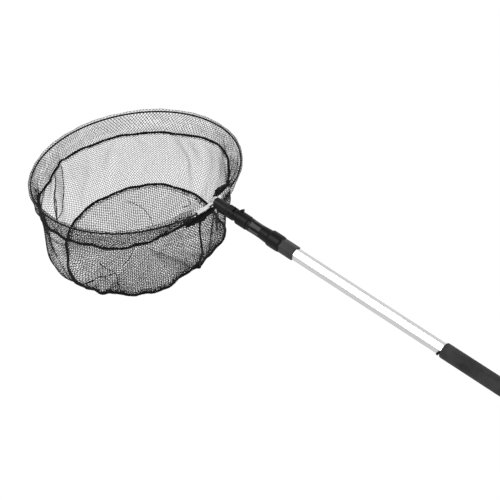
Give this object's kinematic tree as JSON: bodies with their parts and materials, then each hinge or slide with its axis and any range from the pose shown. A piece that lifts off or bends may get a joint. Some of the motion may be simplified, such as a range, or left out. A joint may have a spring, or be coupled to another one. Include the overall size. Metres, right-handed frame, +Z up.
{
  "type": "landing net",
  "caption": "Landing net with a round hoop, a black mesh bag, a folding head joint and a telescopic hexagonal aluminium handle with a foam grip.",
  "frame": {"origin": "centre of the hand grip on the handle's axis", "axes": "+X along the handle towards its butt end, the net at -X; +Z up out of the net's mouth; +Y across"},
  "size_m": [0.962, 0.371, 0.2315],
  "materials": {
    "tube_aluminium": "satin anodised",
    "bright_steel": "bright",
    "pin_steel": "plain",
    "collar_plastic": "satin moulded",
    "sleeve_plastic": "satin moulded",
    "knuckle_plastic": "satin moulded",
    "button_plastic": "satin moulded",
    "plug_plastic": "matt moulded",
    "grip_foam": "fine slanted texture",
    "hoop_paint": "black powder coat",
    "net_mesh": "knotless mesh",
    "net_binding": "overlocked binding"
  },
  "bodies": {
    "outer_handle": {"outer_tube": "tube_aluminium", "outer_collar": "collar_plastic", "grip": "grip_foam", "grip_stud": "button_plastic", "butt_cap": "collar_plastic"},
    "mid_section": {"mid_tube": "tube_aluminium", "mid_collar": "collar_plastic", "mid_tail_plug": "plug_plastic"},
    "inner_section": {"inner_tube": "tube_aluminium", "inner_tail_plug": "plug_plastic", "head_sleeve": "sleeve_plastic", "sleeve_pin": "pin_steel", "hinge_pin": "pin_steel", "button_spring": "pin_steel"},
    "button": {"release_button": "button_plastic"},
    "head": {"hub_knuckle": "knuckle_plastic", "hub_bracket": "bright_steel", "hub_screw": "bright_steel", "hoop_wire": "hoop_paint", "net_band": "net_mesh", "net_hub_panel": "net_mesh", "net_wall": "net_mesh", "net_base": "net_mesh", "upper_seam": "net_binding", "lower_seam": "net_binding", "side_seam": "net_binding"}
  },
  "joints": [
    {"name": "mid_slide", "type": "slide", "parent": "outer_handle", "child": "mid_section", "axis": [-1, 0, 0], "range_m": [0, 0.385]},
    {"name": "inner_slide", "type": "slide", "parent": "mid_section", "child": "inner_section", "axis": [-1, 0, 0], "range_m": [0, 0.39]},
    {"name": "head_fold", "type": "hinge", "parent": "inner_section", "child": "head", "pos_m": [-0.492, 0, 0.006], "axis": [0, 1, 0], "range_deg": [0, 120]},
    {"name": "button_press", "type": "slide", "parent": "inner_section", "child": "button", "axis": [0, -0.5, -0.866], "range_m": [0, 0.0025], "stiffness_N_per_m": 800, "deforming": ["button_spring"]}
  ]
}
